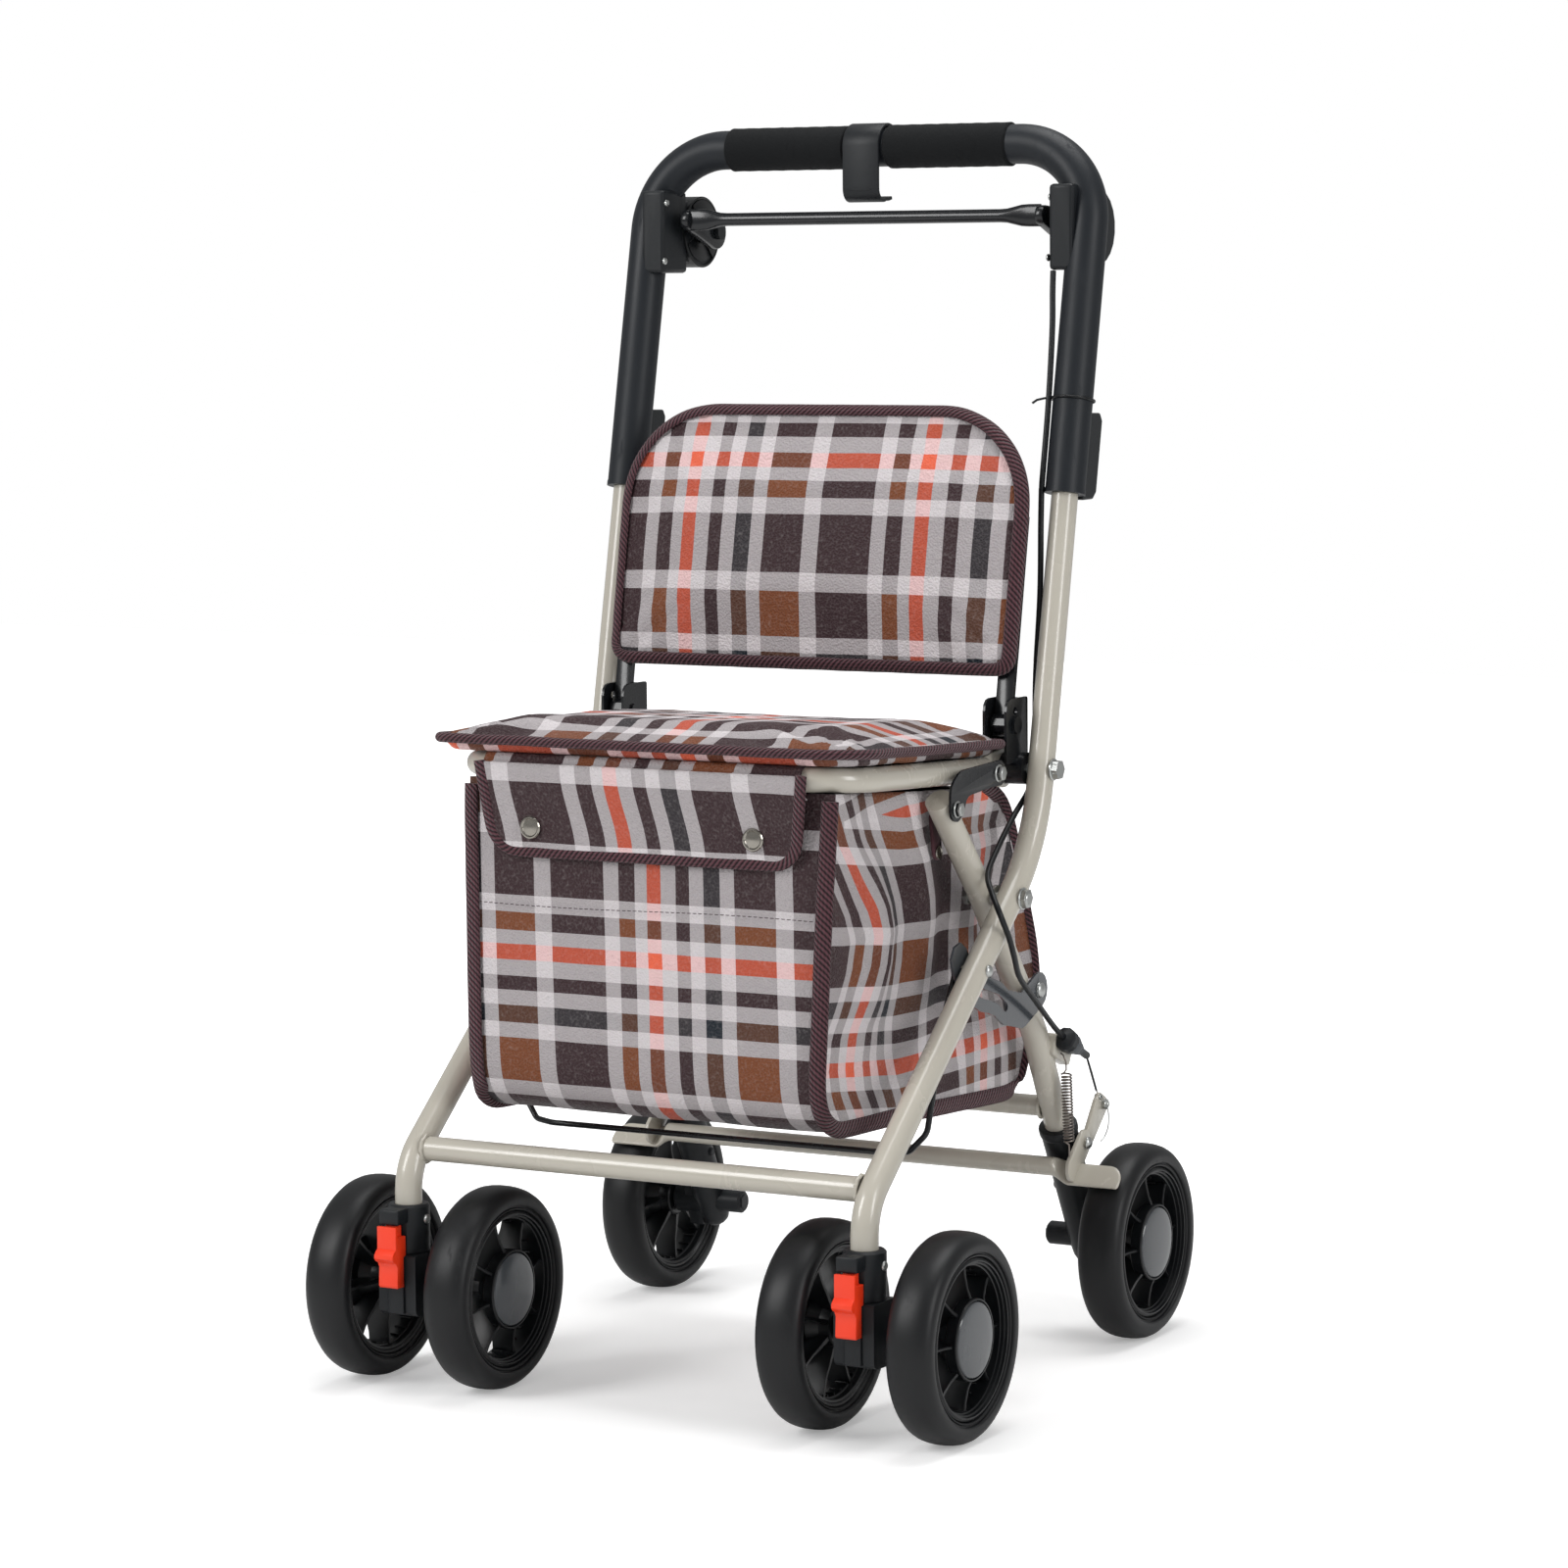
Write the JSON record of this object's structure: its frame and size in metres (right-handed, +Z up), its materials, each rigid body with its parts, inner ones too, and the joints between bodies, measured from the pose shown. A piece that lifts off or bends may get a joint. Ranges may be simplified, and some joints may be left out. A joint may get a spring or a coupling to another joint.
{
  "type": "folding wheeled walker with seat",
  "caption": "Folding wheeled walker with padded seat and backrest, plaid bag, swivel casters, rear brake and a height adjustable push handle.",
  "frame": {"origin": "middle of the footprint, on the floor", "axes": "+X to the right in the picture, -Y the way it is pushed, +Z up"},
  "size_m": [0.5182, 0.52, 0.9286],
  "materials": {
    "left_side_tube": "gloss",
    "right_side_tube": "gloss",
    "front_cross_tube": "gloss",
    "seat_pivot_rod": "satin",
    "left_cross_bolt": "satin",
    "right_cross_bolt": "satin",
    "left_caster_socket": "matte",
    "right_caster_socket": "matte",
    "bag": "woven plaid",
    "bag_cradle_wire": "gloss",
    "lower_cable": "matte",
    "bag_flap": "woven plaid",
    "seat_frame": "gloss",
    "seat_pivot_tube": "gloss",
    "seat_cushion": "woven plaid",
    "left_fold_link": "gloss",
    "right_fold_link": "gloss",
    "backrest_frame": "gloss",
    "backrest_cushion": "woven plaid",
    "handle_bar": "gloss",
    "left_grip": "matte",
    "right_grip": "matte",
    "bag_hook": "gloss",
    "left_brake_housing": "matte",
    "right_brake_housing": "matte",
    "left_height_lock": "matte",
    "right_height_lock": "matte",
    "upper_cable": "matte",
    "left_height_button": "gloss",
    "right_height_button": "gloss",
    "brake_bar": "gloss",
    "left_caster_fork": "matte",
    "left_swivel_lock": "gloss",
    "left_outer_caster_tyre": "matte",
    "left_outer_caster_rim": "matte",
    "left_inner_caster_tyre": "matte",
    "left_inner_caster_rim": "matte",
    "left_rear_tyre": "matte",
    "left_rear_rim": "matte",
    "right_caster_fork": "matte",
    "right_swivel_lock": "gloss",
    "right_outer_caster_tyre": "matte",
    "right_outer_caster_rim": "matte",
    "right_inner_caster_tyre": "matte",
    "right_inner_caster_rim": "matte",
    "right_rear_tyre": "matte",
    "right_rear_rim": "matte",
    "left_rear_leg": "gloss",
    "right_rear_leg": "gloss",
    "rear_cross_tube": "gloss",
    "left_wheel_housing": "matte",
    "right_wheel_housing": "matte",
    "left_stay_plate": "satin",
    "right_stay_plate": "satin",
    "cable_adjuster": "matte",
    "brake_tube": "gloss",
    "brake_spring": "satin"
  },
  "bodies": {
    "frame": {"left_side_tube": "left_side_tube", "right_side_tube": "right_side_tube", "front_cross_tube": "front_cross_tube", "seat_pivot_rod": "seat_pivot_rod", "left_cross_bolt": "left_cross_bolt", "right_cross_bolt": "right_cross_bolt", "left_caster_socket": "left_caster_socket", "right_caster_socket": "right_caster_socket", "bag": "bag", "bag_cradle_wire": "bag_cradle_wire", "lower_cable": "lower_cable"},
    "flap": {"bag_flap": "bag_flap"},
    "seat": {"seat_frame": "seat_frame", "seat_pivot_tube": "seat_pivot_tube", "seat_cushion": "seat_cushion"},
    "left_link": {"left_fold_link": "left_fold_link"},
    "right_link": {"right_fold_link": "right_fold_link"},
    "backrest": {"backrest_frame": "backrest_frame", "backrest_cushion": "backrest_cushion"},
    "handle": {"handle_bar": "handle_bar", "left_grip": "left_grip", "right_grip": "right_grip", "bag_hook": "bag_hook", "left_brake_housing": "left_brake_housing", "right_brake_housing": "right_brake_housing", "left_height_lock": "left_height_lock", "right_height_lock": "right_height_lock", "upper_cable": "upper_cable"},
    "left_button": {"left_height_button": "left_height_button"},
    "right_button": {"right_height_button": "right_height_button"},
    "hand_brake": {"brake_bar": "brake_bar"},
    "left_fork": {"left_caster_fork": "left_caster_fork"},
    "left_lock": {"left_swivel_lock": "left_swivel_lock"},
    "left_outer_caster": {"left_outer_caster_tyre": "left_outer_caster_tyre", "left_outer_caster_rim": "left_outer_caster_rim"},
    "left_inner_caster": {"left_inner_caster_tyre": "left_inner_caster_tyre", "left_inner_caster_rim": "left_inner_caster_rim"},
    "left_rear_wheel": {"left_rear_tyre": "left_rear_tyre", "left_rear_rim": "left_rear_rim"},
    "right_fork": {"right_caster_fork": "right_caster_fork"},
    "right_lock": {"right_swivel_lock": "right_swivel_lock"},
    "right_outer_caster": {"right_outer_caster_tyre": "right_outer_caster_tyre", "right_outer_caster_rim": "right_outer_caster_rim"},
    "right_inner_caster": {"right_inner_caster_tyre": "right_inner_caster_tyre", "right_inner_caster_rim": "right_inner_caster_rim"},
    "right_rear_wheel": {"right_rear_tyre": "right_rear_tyre", "right_rear_rim": "right_rear_rim"},
    "rear_frame": {"left_rear_leg": "left_rear_leg", "right_rear_leg": "right_rear_leg", "rear_cross_tube": "rear_cross_tube", "left_wheel_housing": "left_wheel_housing", "right_wheel_housing": "right_wheel_housing", "left_stay_plate": "left_stay_plate", "right_stay_plate": "right_stay_plate", "cable_adjuster": "cable_adjuster"},
    "rear_brake": {"brake_tube": "brake_tube", "brake_spring": "brake_spring"}
  },
  "joints": [
    {"name": "frame_fold", "type": "hinge", "parent": "frame", "child": "rear_frame", "pos_m": [0, 0.0106, 0.359], "axis": [-1, 0, 0], "range_deg": [0, 37], "deforming": ["bag", "lower_cable"]},
    {"name": "seat_fold", "type": "hinge", "parent": "frame", "child": "seat", "pos_m": [0, 0.0626, 0.449], "axis": [-1, 0, 0], "range_deg": [0, 83]},
    {"name": "backrest_fold", "type": "hinge", "parent": "seat", "child": "backrest", "pos_m": [0, 0.051, 0.482], "axis": [1, 0, 0], "range_deg": [0, 74.5]},
    {"name": "left_link_turn", "type": "hinge", "parent": "seat", "child": "left_link", "pos_m": [0, 0.014, 0.45], "axis": [1, 0, 0], "range_deg": [0, 105]},
    {"name": "right_link_turn", "type": "hinge", "parent": "seat", "child": "right_link", "pos_m": [0, 0.014, 0.45], "axis": [1, 0, 0], "range_deg": [0, 105]},
    {"name": "bag_flap_lift", "type": "hinge", "parent": "frame", "child": "flap", "pos_m": [0, -0.2016, 0.466], "axis": [-1, 0, 0], "range_deg": [0, 100]},
    {"name": "handle_height", "type": "slide", "parent": "frame", "child": "handle", "axis": [0, 0.2008, 0.9796], "range_m": [-0.1, 0]},
    {"name": "left_height_release", "type": "slide", "parent": "handle", "child": "left_button", "axis": [0, -1, 0], "range_m": [0, 0.003], "stiffness_N_per_m": 300, "springref_m": -0.004},
    {"name": "right_height_release", "type": "slide", "parent": "handle", "child": "right_button", "axis": [0, -1, 0], "range_m": [0, 0.003], "stiffness_N_per_m": 300, "springref_m": -0.004},
    {"name": "hand_brake_turn", "type": "hinge", "parent": "handle", "child": "hand_brake", "pos_m": [0, 0.182, 0.848], "axis": [1, 0, 0], "range_deg": [-5, 28]},
    {"name": "left_caster_swivel", "type": "hinge", "parent": "frame", "child": "left_fork", "pos_m": [-0.1895, -0.219, 0.1043], "axis": [0, 0, 1], "continuous": true},
    {"name": "left_swivel_lock_slide", "type": "slide", "parent": "left_fork", "child": "left_lock", "axis": [0, 0, 1], "range_m": [0, 0.008]},
    {"name": "left_outer_caster_spin", "type": "hinge", "parent": "left_fork", "child": "left_outer_caster", "pos_m": [-0.1895, -0.185, 0.075], "axis": [1, 0, 0], "continuous": true},
    {"name": "left_inner_caster_spin", "type": "hinge", "parent": "left_fork", "child": "left_inner_caster", "pos_m": [-0.1895, -0.185, 0.075], "axis": [1, 0, 0], "continuous": true},
    {"name": "left_rear_spin", "type": "hinge", "parent": "rear_frame", "child": "left_rear_wheel", "pos_m": [-0.1895, 0.185, 0.075], "axis": [1, 0, 0], "continuous": true},
    {"name": "right_caster_swivel", "type": "hinge", "parent": "frame", "child": "right_fork", "pos_m": [0.1895, -0.219, 0.1043], "axis": [0, 0, 1], "continuous": true},
    {"name": "right_swivel_lock_slide", "type": "slide", "parent": "right_fork", "child": "right_lock", "axis": [0, 0, 1], "range_m": [0, 0.008]},
    {"name": "right_outer_caster_spin", "type": "hinge", "parent": "right_fork", "child": "right_outer_caster", "pos_m": [0.1895, -0.185, 0.075], "axis": [1, 0, 0], "continuous": true},
    {"name": "right_inner_caster_spin", "type": "hinge", "parent": "right_fork", "child": "right_inner_caster", "pos_m": [0.1895, -0.185, 0.075], "axis": [1, 0, 0], "continuous": true},
    {"name": "right_rear_spin", "type": "hinge", "parent": "rear_frame", "child": "right_rear_wheel", "pos_m": [0.1895, 0.185, 0.075], "axis": [1, 0, 0], "continuous": true},
    {"name": "rear_brake_turn", "type": "hinge", "parent": "rear_frame", "child": "rear_brake", "pos_m": [0, 0.144, 0.1556], "axis": [1, 0, 0], "range_deg": [0, 4], "stiffness_Nm_per_rad": 1.5, "springref_deg": -14.32, "deforming": ["brake_spring"]}
  ],
  "couplings": [
    {"joint": "seat_fold", "follows": "frame_fold", "ratio": 2.2343},
    {"joint": "backrest_fold", "follows": "frame_fold", "ratio": 2},
    {"joint": "left_link_turn", "follows": "frame_fold", "ratio": 2.8208},
    {"joint": "right_link_turn", "follows": "frame_fold", "ratio": 2.8208}
  ]
}
